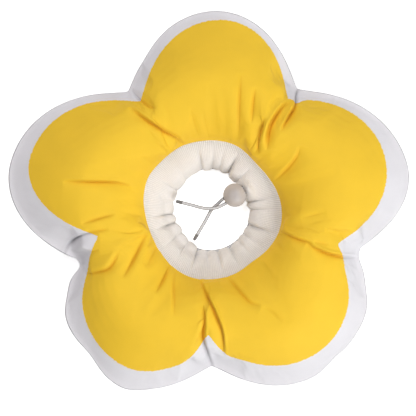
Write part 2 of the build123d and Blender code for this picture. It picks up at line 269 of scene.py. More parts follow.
# ---- flat pattern ----
def pattern_columns():
    """For every grid column: outer azimuth and reach, evenly spaced along the outline, and inner azimuth."""
    columns = []
    for k in range(PETALS):
        low = NOTCHES[k][0]
        span = (NOTCHES[(k + 1) % PETALS][0] - low) % 360
        u = np.linspace(0, 1, 2001)
        angle = low + span * u
        r = outline(np.clip(angle, low + 1e-6, low + span - 1e-6))
        x, y = r * np.cos(np.radians(angle)), r * np.sin(np.radians(angle))
        length = np.r_[0, np.cumsum(np.hypot(np.diff(x), np.diff(y)))]
        even = np.interp(np.linspace(0, length[-1], COLUMNS + 1)[:-1], length, u)
        for j, v in enumerate(even):
            outer = low + span * v
            inner = low + span * j / COLUMNS
            columns.append((math.radians(outer), float(outline(outer + 1e-6)), math.radians(inner)))
    return columns


def pattern_grid(ring_mm, growth):
    """Grid points [column, row, xy] from the neck seam out to the edge."""
    data = np.array(pattern_columns())
    outer = np.stack([np.cos(data[:, 0]), np.sin(data[:, 0])], 1) * data[:, 1:2] * growth
    inner = np.stack([np.cos(data[:, 2]), np.sin(data[:, 2])], 1) * ring_mm
    f = np.linspace(0, 1, ROWS + 1)[None, :, None]
    return inner[:, None, :] * (1 - f) + outer[:, None, :] * f


def cushion_topology():
    """Vertex numbers of the front and back sheet, which share the neck seam and the outer seam."""
    count = PETALS * COLUMNS
    front = np.arange(count * (ROWS + 1)).reshape(count, ROWS + 1)
    back = front.copy()
    back[:, 1:ROWS] = count * (ROWS + 1) + np.arange(count * (ROWS - 1)).reshape(count, ROWS - 1)
    faces = []
    for sheet, flip in ((front, False), (back, True)):
        nxt = np.roll(sheet, -1, 0)
        quads = np.stack([sheet[:, :-1], sheet[:, 1:], nxt[:, 1:], nxt[:, :-1]], 2).reshape(-1, 4)
        faces.append(quads[:, ::-1] if flip else quads)
    return front, back, np.vstack(faces)


def with_height(grid, height):
    return np.concatenate([grid, height[:, :, None]], 2)


def sheets_to_points(front, back, grid, rise):
    """Point array for a grid, with the two sheets standing rise apart from the seam plane."""
    points = np.zeros((back.max() + 1, 3))
    points[back] = with_height(grid, -rise)
    points[front] = with_height(grid, rise)
    return points


def new_object(name, points, faces):
    mesh = bpy.data.meshes.new(name)
    if isinstance(faces, np.ndarray):
        faces = faces.tolist()
    mesh.from_pydata(np.asarray(points).tolist(), [], faces)
    mesh.update()
    obj = bpy.data.objects.new(name, mesh)
    scene.collection.objects.link(obj)
    return obj


def smooth(obj):
    obj.data.polygons.foreach_set("use_smooth", np.ones(len(obj.data.polygons), bool))


def read_points(mesh):
    flat = np.empty(len(mesh.vertices) * 3)
    mesh.vertices.foreach_get("co", flat)
    return flat.reshape(-1, 3)


def stuff(obj, flat_points, pinned):
    """Blow the two sewn sheets up like a filling would, and return the settled points."""
    obj.shape_key_add(name="Basis")
    flat_key = obj.shape_key_add(name="flat")
    flat_key.data.foreach_set("co", flat_points.astype(np.float32).ravel())
    flat_key.value = 0
    group = obj.vertex_groups.new(name="neck_seam")
    group.add([int(i) for i in pinned], 1.0, "REPLACE")
    cloth = obj.modifiers.new("Cloth", "CLOTH")
    fabric = cloth.settings
    fabric.quality = 6
    fabric.mass = 0.1
    fabric.tension_stiffness = SIM_STRETCH
    fabric.compression_stiffness = SIM_STRETCH
    fabric.shear_stiffness = SIM_STRETCH * 0.4
    fabric.bending_stiffness = SIM_BEND
    fabric.air_damping = 2
    fabric.use_pressure = True
    fabric.uniform_pressure_force = 0
    fabric.use_pressure_volume = True
    fabric.target_volume = SIM_VOLUME
    fabric.vertex_group_mass = "neck_seam"
    fabric.rest_shape_key = flat_key
    fabric.effector_weights.gravity = 0
    cloth.collision_settings.use_collision = False
    cloth.point_cache.frame_start = 1
    cloth.point_cache.frame_end = SIM_FRAMES + 1
    for step in range(1, SIM_FRAMES + 1):
        scene.frame_set(step)
    settled = obj.evaluated_get(bpy.context.evaluated_depsgraph_get())
    points = read_points(settled.data)
    scene.frame_set(1)
    return points


def stuffed_sheets():
    """Front and back sheet of the settled cushion in millimetres, [column, row, xyz], seam plane at zero."""
    front, back, faces = cushion_topology()
    worn = pattern_grid(RING_MM, PATTERN_GROWTH)
    flat = pattern_grid(PATTERN_RING_MM, PATTERN_GROWTH)
    f = np.linspace(0, 1, ROWS + 1)[None, :] * np.ones((PETALS * COLUMNS, 1))
    arch = np.sin(np.pi * f)
    start = sheets_to_points(front, back, worn, START_RISE_MM * arch) * SIM_SCALE
    rest = sheets_to_points(front, back, flat, FLAT_RISE_MM * np.sign(arch)) * SIM_SCALE
    body = new_object("cushion_cloth", start, faces)
    settled = stuff(body, rest, front[:, 0]) / SIM_SCALE
    bpy.data.objects.remove(body)
    return settled[front], settled[back]


def spread(values, sigma):
    """Gaussian average around the closed first axis."""
    half = int(4 * sigma)
    kernel = np.exp(-0.5 * (np.arange(-half, half + 1) / sigma) ** 2)
    kernel /= kernel.sum()
    return sum(w * np.roll(values, i - half, 0) for i, w in enumerate(kernel))


def rounded(sheet):
    """The simulated heights on a rounder cross-section, with only a share of the simulation's own creases."""
    height = sheet[:, :, 2]
    broad = spread(height, CALM_COLUMNS)
    crest = spread(np.abs(height).max(1), CALM_COLUMNS) * np.sign(height.sum())
    t = np.linspace(0, 1, ROWS + 1) ** CREST_SKEW
    dome = (1 - (2 * t - 1) ** 2) ** np.where(t < 0.5, DOME_NECK_POWER, DOME_EDGE_POWER)
    out = sheet.copy()
    kept = CREASES_KEPT * np.interp(np.linspace(0, 1, ROWS + 1), *zip(*CREASE_FADE))
    out[:, :, 2] = crest[:, None] * dome * (1 - TENT_KEPT) + broad * TENT_KEPT + (height - broad) * kept
    return out


def finer(grid, times, closed=False):
    """Points on smooth curves through the grid along its first axis (Catmull-Rom)."""
    if closed:
        a, b, c, d = np.roll(grid, 1, 0), grid, np.roll(grid, -1, 0), np.roll(grid, -2, 0)
    else:
        whole = np.concatenate([2 * grid[:1] - grid[1:2], grid, 2 * grid[-1:] - grid[-2:-1]])
        a, b, c, d = whole[:-3], whole[1:-2], whole[2:-1], whole[3:]
    steps = [
        0.5 * (2 * b + (c - a) * t + (2 * a - 5 * b + 4 * c - d) * t ** 2 + (3 * b - a - 3 * c + d) * t ** 3)
        for t in np.arange(times) / times
    ]
    out = np.stack(steps, 1).reshape(-1, *grid.shape[1:])
    return out if closed else np.concatenate([out, grid[-1:]])


def finer_sheet(sheet):
    rows = finer(sheet.transpose(1, 0, 2), FINER_ROWS).transpose(1, 0, 2)
    return finer(rows, FINER_COLUMNS, closed=True)


def around(table, azimuth_deg):
    """Smooth closed curve of value over azimuth through the points of a table."""
    table = sorted((a % 360, v) for a, v in table)
    angle = np.array([a for a, _ in table])
    value = np.array([v for _, v in table])
    padded_angle = np.r_[angle[-2:] - 360, angle, angle[:2] + 360]
    padded_value = np.r_[value[-2:], value, value[:2]]
    dense = finer(np.stack([padded_angle, padded_value], 1), 12)
    return np.interp(np.asarray(azimuth_deg) % 360, dense[:, 0], dense[:, 1])


def azimuth_of(points):
    return np.degrees(np.arctan2(points[..., 1], points[..., 0])) % 360


def reach_factor(sheets):
    """How much further the outline is than the settled cushion, per degree of azimuth."""
    points = np.concatenate([s.reshape(-1, 3) for s in sheets])
    r = np.hypot(points[:, 0], points[:, 1])
    azimuth = azimuth_of(points)
    bins = np.arange(360)
    widest = np.zeros(360)
    for b in bins:
        apart = np.abs((azimuth - b + 180) % 360 - 180)
        widest[b] = r[apart < REACH_WINDOW].max()
    return spread((outline(bins) - RING_MM) / (widest - RING_MM), REACH_SPREAD)


def fit_outline(sheet, factor):
    """Scale each azimuth so that the cushion reaches the outline, and seat the sheet at the seam's height."""
    r = np.hypot(sheet[..., 0], sheet[..., 1])
    azimuth = azimuth_of(sheet)
    scale = np.interp(azimuth, np.arange(361), np.r_[factor, factor[0]])
    neck = around(RIM, azimuth)
    span = np.clip((r - RING_MM) / (SETTLE_MM - RING_MM), 0, 1)
    stretched = RING_MM + (r - RING_MM) * scale
    new_r = stretched + (neck - RING_MM) * (1 - span) ** 2
    out = sheet.copy()
    out[..., :2] *= (new_r / r)[..., None]
    height = SEAM_Z_MM + sheet[..., 2] * PUFF_SCALE
    out[..., 2] = 0.5 * (height + np.sqrt(height ** 2 + TABLE_SOFTNESS_MM ** 2))
    return out


def trimmed(front, back):
    """Move the edge in or out so that it follows the outline and its small departures."""
    edge = np.hypot(front[:, -1, 0], front[:, -1, 1])
    azimuth = azimuth_of(front[:, -1])
    further = outline(azimuth) - dented(azimuth, EDGE_DENTS) - edge
    sheets = []
    for sheet in (front, back):
        r = np.hypot(sheet[..., 0], sheet[..., 1])
        near = np.clip((r - edge[:, None]) / EDGE_FADE_MM + 1, 0, 1)
        out = sheet.copy()
        out[..., :2] *= (1 + further[:, None] * near ** EDGE_FADE_POWER / r)[..., None]
        sheets.append(out)
    return sheets


# ---- folds in the cover ----
def path_distance(points, path):
    """Signed distance to a path, positive on its right, and how far along it the nearest point is, 0 to 1."""
    lengths = np.hypot(*(path[1:] - path[:-1]).T)
    best = np.full(len(points), np.inf)
    signed = np.zeros(len(points))
    along = np.zeros(len(points))
    done = 0.0
    for a, b, length in zip(path[:-1], path[1:], lengths):
        step = (b - a) / length
        rel = points - a
        t = np.clip(rel @ step, 0, length)
        off = rel - t[:, None] * step
        distance = np.hypot(off[:, 0], off[:, 1])
        side = np.where(rel[:, 0] * step[1] - rel[:, 1] * step[0] > 0, 1.0, -1.0)
        nearer = distance < best
        best = np.where(nearer, distance, best)
        signed = np.where(nearer, distance * side, signed)
        along = np.where(nearer, (done + t) / lengths.sum(), along)
        done += length
    return signed, along


def fold_profile(signed, deep, left, right, ridge):
    """Valley at zero, steep on the narrower side, where the cloth stands up in a ridge."""
    valley = deep * np.exp(-np.abs(signed) / np.where(signed > 0, right, left))
    narrow = 1.0 if right < left else -1.0
    crest = min(left, right) * RIDGE_PLACE + RIDGE_GAP_MM
    lip = ridge * np.exp(-((signed * narrow - crest) / (crest * RIDGE_WIDTH)) ** 2)
    return valley - lip


def fold_depth(sheet):
    """How far the cover is pushed in along its normal at each point, and how strong the painted shade at the
    bottom of a fold is there.
    """
    xy = sheet[..., :2].reshape(-1, 2)
    depth = np.zeros(len(xy))
    crease_shade = np.zeros(len(xy))
    for path, deep, left, right, ridge in FOLDS:
        curve = finer(np.array(path, float), 8)
        near = np.abs(xy - curve.mean(0)).max(1) < np.ptp(curve, axis=0).max() / 2 + FOLD_REACH_MM
        signed, along = path_distance(xy[near], curve)
        taper = np.clip(np.sin(np.pi * np.clip(along, 0, 1)), 0, 1) ** FOLD_TAPER
        depth[near] += taper * fold_profile(signed, deep, left, right, ridge)
        # painted shade along the bottom of each fold, as strong as the fold is deep
        crease_shade[near] += taper * deep * np.exp(-(signed / CREASE_SHADE_MM) ** 2)
    return depth.reshape(sheet.shape[:2]), crease_shade.reshape(sheet.shape[:2])


def smoothed_notches(sheet):
    """Even out what the simulation crumples just inside the notches."""
    inner = np.clip((1 - np.linspace(0, 1, sheet.shape[1])) / SMOOTH_EDGE_SHARE, 0, 1)
    share = np.zeros(sheet.shape[:2])
    for azimuth, notch_reach in NOTCHES:
        turn, r = math.radians(azimuth), notch_reach - SMOOTH_INSIDE_MM
        away = np.hypot(sheet[..., 0] - r * math.cos(turn), sheet[..., 1] - r * math.sin(turn))
        share += np.exp(-((away / SMOOTH_RADIUS_MM) ** 2)) * inner
    return sheet + (spread(sheet, SMOOTH_COLUMNS) - sheet) * share[..., None]


# ---- cushion pieces ----
def sheet_normals(sheet):
    """Upward unit normals of a sheet [column, row, xyz] that is closed along its columns."""
    across = np.roll(sheet, -1, 0) - np.roll(sheet, 1, 0)
    outward = np.gradient(sheet, axis=1)
    normal = np.cross(outward, across)
    return normal / np.linalg.norm(normal, axis=2)[..., None]


def broad_normals(sheet):
    """Normals without the small creases, turned mostly upwards."""
    normal = spread(sheet_normals(sheet), NORMAL_COLUMNS)
    normal[..., 2] = np.maximum(normal[..., 2], UPWARD_SHARE)
    return normal / np.linalg.norm(normal, axis=2)[..., None]


def set_attribute(mesh, name, values, kind="FLOAT"):
    attribute = mesh.attributes.new(name, kind, "POINT")
    key = "value" if kind == "FLOAT" else "vector"
    attribute.data.foreach_set(key, np.asarray(values, np.float32).ravel())


def build_cushion():
    """Five closed pieces, one per petal, that meet at the notches."""
    settled = [rounded(s) for s in stuffed_sheets()]
    factor = reach_factor(settled)
    front, back = trimmed(*(finer_sheet(fit_outline(s, factor)) for s in settled))
    level = np.zeros(settled[0].shape[:2])
    flat = finer_sheet(with_height(pattern_grid(PATTERN_RING_MM, PATTERN_GROWTH), level))
    front = smoothed_notches(front)
    inward = -broad_normals(front)
    depth, crease_shade = fold_depth(front)
    room = FOLD_ROOM * (front[..., 2] - back[..., 2]) + LEAST_ROOM_MM
    depth = np.where(depth > 0, room * np.tanh(depth / room), depth)
    front = front + inward * depth[..., None]
    front[:, -1] = back[:, -1]
    normal, under = sheet_normals(front), -sheet_normals(back)
    normal[:, -1] = normal[:, -1] + under[:, -1]
    normal[:, -1] /= np.linalg.norm(normal[:, -1], axis=1)[:, None]
    margin = print_edge(azimuth_of(front)) - np.hypot(front[..., 0], front[..., 1])

    rows = front.shape[1]
    loop = 2 * rows - 2
    inner = slice(rows - 2, 0, -1)

    def looped(upper, lower):
        return np.concatenate([upper, lower[:, inner]], 1)

    places = looped(front, back)
    normals = looped(normal, under)
    margins = looped(margin, np.full(margin.shape, -1.0))
    creases = looped(crease_shade, np.zeros(crease_shade.shape))
    patterns = looped(flat, flat)
    per_petal = COLUMNS * FINER_COLUMNS
    grid = np.arange((per_petal + 1) * loop).reshape(per_petal + 1, loop)
    turned = np.roll(grid, -1, 1)
    quads = np.stack([grid[:-1], turned[:-1], turned[1:], grid[1:]], 2)
    kinds = np.broadcast_to((np.arange(loop) >= rows - 1).astype(np.int32), quads.shape[:2])
    caps = []
    for column, flip in ((0, False), (per_petal, True)):
        line = grid[column]
        for k in range(rows - 1):
            face = [line[k], line[-k % loop], line[-(k + 1) % loop], line[k + 1]]
            face = [int(v) for n, v in enumerate(face) if v not in face[:n]]
            caps.append(face[::-1] if flip else face)
    faces = quads.reshape(-1, 4).tolist() + caps
    kind = np.r_[kinds.ravel(), np.ones(len(caps), np.int32)]
    pieces = []
    for k in range(PETALS):
        columns = np.arange(k * per_petal, (k + 1) * per_petal + 1) % (PETALS * per_petal)
        obj = new_object(f"petal_{k + 1}_cushion", places[columns].reshape(-1, 3) * MM, faces)
        mesh = obj.data
        set_attribute(mesh, "print_margin", margins[columns])
        # strength of the painted shade at the bottoms of the folds
        set_attribute(mesh, "crease", creases[columns])
        set_attribute(mesh, "pattern", patterns[columns], "FLOAT_VECTOR")
        mesh.materials.append(materials["print"])
        mesh.materials.append(materials["white"])
        mesh.polygons.foreach_set("material_index", kind)
        smooth(obj)
        mesh.normals_split_custom_set_from_vertices(normals[columns].reshape(-1, 3).tolist())
        pieces.append(obj)
    return pieces


# ---- neck cuff ----
def build_cuff():
    count = RIBS * RIB_SAMPLES
    theta = np.arange(count) / count * 2 * np.pi
    degrees = np.degrees(theta)
    profile = finer(np.array(CUFF_PROFILE, float), 5)
    tangent = np.gradient(profile[:, :2], axis=0)
    tangent /= np.linalg.norm(tangent, axis=1)[:, None]
    outward = np.stack([tangent[:, 1], -tangent[:, 0]], 1)
    gather = np.zeros(count)
    for azimuth, deep, sharp, soft in GATHERS:
        apart = (degrees - azimuth + 180) % 360 - 180
        gather -= deep * np.exp(-np.abs(apart / np.where(apart < 0, sharp, soft)) ** GATHER_POWER)
    gather -= gather.mean()
    rib = RIB_MM * np.cos(RIBS * theta)
    base = profile[None, :, 0]
    toward_rim = np.clip((base - HEM_MM) / (RIM_MM - HEM_MM), 0, 1)
    ribbed = RIB_AT_HEM + (1 - RIB_AT_HEM) * toward_rim
    lift = gather[:, None] * profile[None, :, 2] + rib[:, None] * ribbed
    slide = (around(HEM, degrees) - HEM_MM)[:, None] * (1 - toward_rim) ** EASE_POWER
    slide = slide + (around(RIM, degrees) - RIM_MM)[:, None] * toward_rim ** EASE_POWER
    r = base + outward[None, :, 0] * lift + slide
    dip = around(DIP, degrees)[:, None] * profile[None, :, 3]
    z = profile[None, :, 1] + outward[None, :, 1] * lift - dip
    bunch = np.exp(-((degrees - BUNCH_AZIMUTH) / BUNCH_HALF) ** 2)[:, None] * (outward[None, :, 1] > 0)
    z = z + bunch * BUNCH_RISE_MM * np.exp(-((r - BUNCH_R_MM) / BUNCH_WIDTH_MM) ** 2)
    x, y = r * np.cos(theta)[:, None], r * np.sin(theta)[:, None]
    points = np.stack([x, y, np.maximum(z, CUFF_LOWEST_MM)], 2) * MM
    rows = len(profile)
    grid = np.arange(count * rows).reshape(count, rows)
    nxt = np.roll(grid, -1, 0)
    quads = np.stack([grid[:, :-1], nxt[:, :-1], nxt[:, 1:], grid[:, 1:]], 2).reshape(-1, 4)
    close = np.stack([grid[:, -1], nxt[:, -1], nxt[:, 0], grid[:, 0]], 1)
    obj = new_object("neck_cuff_knit", points.reshape(-1, 3), np.vstack([quads, close]))
    set_attribute(obj.data, "around", np.repeat(theta, rows))
    set_attribute(obj.data, "across", np.tile(np.linspace(0, 1, rows), count))
    set_attribute(obj.data, "ribbed", np.tile(ribbed[0], count))
    # depth of the gathers, which the knit material turns into painted shade
    set_attribute(obj.data, "gathered", gather[:, None] * profile[None, :, 2])
    smooth(obj)
    obj.data.materials.append(materials["knit"])
    return obj


# ---- cords ----
CORD_MM = 1.25
TAILS = {
    "tail_left": [(5.0, 1.4, 17.0), (-4.0, 0.9, 16.6), (-16.0, 3.9, 15.4), (-27.4, 6.7, 14.4)],
    "tail_lower": [(6.6, 5.0, 14.4), (1.2, -0.4, 13.2), (-4.0, -9.6, 12.9), (-13.0, -24.8, 12.7)],
}
CORD_STEP_MM = 0.3
CORD_SIDES = 24
CORD_INSET_MM = 0.7            # the braid ends this far inside the tip of its sleeve
SLEEVE_MM = 5.5
SLEEVE_STEP_MM = 0.2
SLEEVE_SIDES = 28
SLEEVE_OPEN_MM = 1.5
SLEEVE_TIP_MM = 1.25
NOSE_MM = 0.7                  # length of the rounding at the tip
NOSE_BLUNT = 0.04
LIP_MM = 0.3                   # length of the rolled lip at the open end
LIP_SHARE = 0.86
BRAID_STRANDS = 8
BRAID_PITCH_MM = 5.0
BRAID_MM = 0.06


def tube(name, centre, radius_of, sides, material):
    """A closed tube along a path; radius_of(angle, distance) gives its surface."""
    centre = np.asarray(centre, float)
    tangent = np.gradient(centre, axis=0)
    tangent /= np.linalg.norm(tangent, axis=1)[:, None]
    up = np.array([0, 0, 1.0])
    side = np.cross(tangent, up)
    side /= np.linalg.norm(side, axis=1)[:, None]
    top = np.cross(side, tangent)
    distance = np.r_[0, np.cumsum(np.linalg.norm(np.diff(centre, axis=0), axis=1))]
    angle = np.arange(sides) / sides * 2 * np.pi
    radius = radius_of(angle[None, :], distance[:, None])
    radius = np.broadcast_to(radius, (len(centre), sides))
    ring = (centre[:, None, :] + radius[:, :, None] * (np.cos(angle)[None, :, None] * side[:, None, :]
            + np.sin(angle)[None, :, None] * top[:, None, :]))
    points = ring.reshape(-1, 3)
    grid = np.arange(len(centre) * sides).reshape(-1, sides)
    nxt = np.roll(grid, -1, 1)
    quads = np.stack([grid[:-1], nxt[:-1], nxt[1:], grid[1:]], 2).reshape(-1, 4).tolist()
    start, end = len(points), len(points) + 1
    points = np.vstack([points, centre[0], centre[-1]])
    caps = [(start, int(nxt[0, i]), int(grid[0, i])) for i in range(sides)]
    caps += [(end, int(grid[-1, i]), int(nxt[-1, i])) for i in range(sides)]
    obj = new_object(name, points * MM, quads + caps)
    set_attribute(obj.data, "around", np.r_[np.tile(angle, len(centre)), 0, 0])
    set_attribute(obj.data, "along", np.r_[np.repeat(distance, sides), 0, distance[-1]])
    smooth(obj)
    obj.data.materials.append(material)
    return obj


def resample(path, step):
    distance = np.r_[0, np.cumsum(np.linalg.norm(np.diff(path, axis=0), axis=1))]
    at = np.linspace(0, distance[-1], max(3, int(distance[-1] / step)))
    return np.stack([np.interp(at, distance, path[:, i]) for i in range(3)], 1)


def braided(angle, distance):
    turn = 2 * np.pi * distance / BRAID_PITCH_MM
    over = np.cos(BRAID_STRANDS / 2 * angle + turn) * np.cos(BRAID_STRANDS / 2 * angle - turn)
    return CORD_MM + BRAID_MM * over


def sleeve(_angle, distance):
    """Radius of the crimped sleeve, from its rolled open end to its rounded tip."""
    total = distance.max()
    from_tip = np.clip(total - distance, 0, NOSE_MM) / NOSE_MM
    from_open = np.clip(distance, 0, LIP_MM) / LIP_MM
    lip = LIP_SHARE + (1 - LIP_SHARE) * np.sqrt(from_open)
    nose = np.sqrt(np.clip(1 - (1 - from_tip) ** 2, NOSE_BLUNT, 1))
    return (SLEEVE_OPEN_MM + (SLEEVE_TIP_MM - SLEEVE_OPEN_MM) * distance / total) * lip * nose


def tail_curve(body):
    start = np.array(joints[f"{body}_swing"]["pos_m"]) / MM
    return resample(finer(np.array([start] + TAILS[body], float), 24), CORD_STEP_MM)


def build_tail(body):
    curve = tail_curve(body)
    left = np.r_[0, np.cumsum(np.linalg.norm(np.diff(curve[::-1], axis=0), axis=1))][::-1]
    cord = tube(f"{body}_braid", curve[left > CORD_INSET_MM], braided, CORD_SIDES, materials["cord"])
    covered = resample(curve[left < SLEEVE_MM], SLEEVE_STEP_MM)
    cap = tube(f"{body}_cap", covered, sleeve, SLEEVE_SIDES, materials["sleeve"])
    return cord, cap


# ---- spring of the lock ----
SPRING_COILS = 3.5
SPRING_WIRE_MM = 0.2
SPRING_STEPS = 160
SPRING_SIDES = 12


def build_spring():
    """Coil in the pocket above the button, wound where the frame's own spring is."""
    low, high = (np.array(corner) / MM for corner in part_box("lock_spring"))
    centre = (low + high) / 2
    radius = (high[0] - low[0]) / 2 - SPRING_WIRE_MM
    turn = np.linspace(0, 2 * np.pi * SPRING_COILS, SPRING_STEPS)
    height = np.linspace(low[2] + SPRING_WIRE_MM, high[2] - SPRING_WIRE_MM, len(turn))
    x, y = centre[0] + radius * np.cos(turn), centre[1] + radius * np.sin(turn)
    path = np.stack([x, y, height], 1)
    return tube("lock_spring_coil", path, plain_wire, SPRING_SIDES, materials["steel"]), high[2]


def plain_wire(_angle, _distance):
    return SPRING_WIRE_MM


# ---- materials ----
class Nodes:
    """Short-hand for building a node tree."""

    def __init__(self, name):
        self.material = bpy.data.materials.new(name)
        self.material.use_nodes = True
        self.tree = self.material.node_tree
        self.tree.nodes.clear()
        self.out = self.tree.nodes.new("ShaderNodeOutputMaterial")
        self.bsdf = self.tree.nodes.new("ShaderNodeBsdfPrincipled")
        self.link(self.bsdf.outputs[0], self.out.inputs[0])

    def link(self, a, b):
        self.tree.links.new(a, b)

    def put(self, socket, value):
        if isinstance(value, bpy.types.NodeSocket):
            self.link(value, socket)
        elif isinstance(value, tuple) and len(value) == 3 and socket.type == "RGBA":
            socket.default_value = (*value, 1.0)
        else:
            socket.default_value = value

    def principled(self, **values):
        for key, value in values.items():
            self.put(self.bsdf.inputs[key.replace("_", " ")], value)

    def math(self, operation, a, b=0.0):
        node = self.tree.nodes.new("ShaderNodeMath")
        node.operation = operation
        for socket, value in zip(node.inputs, (a, b)):
            self.put(socket, value)
        return node.outputs[0]

    def attribute(self, name, output="Fac"):
        node = self.tree.nodes.new("ShaderNodeAttribute")
        node.attribute_name = name
        return node.outputs[output]

    def noise(self, vector, scale, detail=3.0, rough=0.5):
        node = self.tree.nodes.new("ShaderNodeTexNoise")
        self.put(node.inputs["Vector"], vector)
        node.inputs["Scale"].default_value = scale
        node.inputs["Detail"].default_value = detail
        node.inputs["Roughness"].default_value = rough
        return node.outputs["Fac"]

    def mix(self, factor, a, b):
        node = self.tree.nodes.new("ShaderNodeMix")
        node.data_type = "RGBA"
        self.put(node.inputs[0], factor)
        self.put(node.inputs[6], a)
        self.put(node.inputs[7], b)
        return node.outputs[2]

    def scaled(self, colour, factor):
        """colour times a grey factor socket."""
        node = self.tree.nodes.new("ShaderNodeMix")
        node.data_type = "RGBA"
        node.blend_type = "MULTIPLY"
        node.inputs[0].default_value = 1.0
        self.put(node.inputs[6], colour)
        combine = self.tree.nodes.new("ShaderNodeCombineColor")
        for i in range(3):
            self.put(combine.inputs[i], factor)
        self.link(combine.outputs[0], node.inputs[7])
        return node.outputs[2]

    def position(self):
        return self.tree.nodes.new("ShaderNodeTexCoord").outputs["Object"]

    def split(self, vector):
        node = self.tree.nodes.new("ShaderNodeSeparateXYZ")
        self.put(node.inputs[0], vector)
        return node.outputs

    def remap(self, value, low, high, to_low, to_high):
        node = self.tree.nodes.new("ShaderNodeMapRange")
        node.clamp = True
        for socket, v in zip(node.inputs, (value, low, high, to_low, to_high)):
            self.put(socket, v)
        return node.outputs[0]

    def bump(self, height, distance, strength=1.0):
        node = self.tree.nodes.new("ShaderNodeBump")
        node.inputs["Strength"].default_value = strength
        node.inputs["Distance"].default_value = distance
        self.put(node.inputs["Height"], height)
        self.link(node.outputs[0], self.bsdf.inputs["Normal"])


FLOOR_LIFT = 0.7               # glow of the floor that only the camera sees
YELLOW = (0.92, 0.592, 0.032)
# darker, more orange yellow painted as shade at the bottoms of the folds
SHADED_CREASE_YELLOW = (0.70, 0.33, 0.004)
WHITE = (0.78, 0.775, 0.815)
IVORY = (0.85, 0.82, 0.79)
# darker white painted as shade at the bottoms of the folds, and the most of either that is mixed in
SHADED_CREASE_WHITE = (0.42, 0.41, 0.44)
CREASE_DARKENING = 0.75
WEAVE_MM = 0.55
STITCH_WAVES = 420.0
LOCK_GREY = (0.60, 0.56, 0.545)
BUTTON_GREY = (0.42, 0.38, 0.36)
SLEEVE_GREY = (0.17, 0.165, 0.165)
STEEL = (0.62, 0.62, 0.63)
PAPER = (0.93, 0.93, 0.93)


def weave_height(n):
    """Plain weave of fine polyester yarn, from the flat pattern's own coordinates in millimetres."""
    x, y, _ = n.split(n.attribute("pattern", "Vector"))
    warp = n.math("SINE", n.math("MULTIPLY", x, 2 * math.pi / WEAVE_MM))
    weft = n.math("SINE", n.math("MULTIPLY", y, 2 * math.pi / WEAVE_MM))
    return n.math("MULTIPLY", warp, weft)


def cover_material(name, printed):
    """Smooth polyester: white cloth, with a crisp yellow print on the front and, on the front, painted shade
    along the bottoms of its folds.
    """
    n = Nodes(name)
    pattern = n.attribute("pattern", "Vector")
    patchy = n.noise(pattern, 0.035, 3)
    fine = n.noise(pattern, 1.3, 2)
    mottled = n.remap(patchy, 0.3, 0.7, 0.965, 1.02)
    shade = n.math("ADD", mottled, n.remap(fine, 0.3, 0.7, -0.012, 0.012))
    colour = WHITE
    if printed:
        # painted shade: darker, more orange cloth along the bottoms of the folds
        crease = n.remap(n.attribute("crease"), 0.4, 4.0, 0.0, CREASE_DARKENING)
        cloth = n.mix(crease, WHITE, SHADED_CREASE_WHITE)
        wobble = n.remap(n.noise(pattern, 0.5, 2), 0.3, 0.7, -0.35, 0.35)
        inked = n.remap(n.math("ADD", n.attribute("print_margin"), wobble), -0.25, 0.25, 0.0, 1.0)
        colour = n.mix(inked, cloth, n.mix(crease, YELLOW, SHADED_CREASE_YELLOW))
    height = n.math("ADD", n.math("MULTIPLY", weave_height(n), 0.5), n.math("MULTIPLY", fine, 0.8))
    n.principled(
        Base_Color=n.scaled(colour, shade),
        Roughness=n.remap(fine, 0.3, 0.7, 0.62, 0.78),
        Sheen_Weight=0.05,
        Sheen_Roughness=0.4,
        Specular_IOR_Level=0.32,
    )
    n.bump(height, 0.00010, 0.55)
    return n.material


def knit_material():
    """Ivory rib knit: painted shade between the ribs and in the gathers, with small stitches along each rib.
    """
    n = Nodes("rib_knit")
    rib = n.math("COSINE", n.math("MULTIPLY", n.attribute("around"), float(RIBS)))
    stitch = n.math("SINE", n.math("MULTIPLY", n.attribute("across"), STITCH_WAVES))
    fibre = n.noise(n.position(), 900.0, 3, 0.6)
    # painted shade in the grooves between the ribs, stronger towards the rim
    groove = n.math("MULTIPLY", n.math("SUBTRACT", 0.4, rib), n.attribute("ribbed"))
    between = n.remap(groove, 0.0, 1.4, 1.0, 0.84)
    # painted shade in the gathers of the knit
    gathered = n.remap(n.attribute("gathered"), -3.0, -0.6, 0.80, 1.0)
    worn = n.remap(fibre, 0.25, 0.75, 0.95, 1.03)
    # painted shade between the ribs and in the gathers, times a random tone of the fibres
    shade = n.math("MULTIPLY", n.math("MULTIPLY", between, gathered), worn)
    height = n.math("ADD", n.math("MULTIPLY", stitch, 0.3), fibre)
    n.principled(
        Base_Color=n.scaled(IVORY, shade),
        Roughness=0.86,
        Sheen_Weight=0.35,
        Sheen_Roughness=0.5,
        Specular_IOR_Level=0.2,
    )
    n.bump(height, 0.00022, 0.6)
    return n.material


# colour of the cord where it faces the eye, and the painted shade at its sides
CORD_LIGHT = (0.66, 0.66, 0.68)
CORD_DARK = (0.10, 0.10, 0.105)
LEAD_WAVES = 2 * math.pi / 0.0012


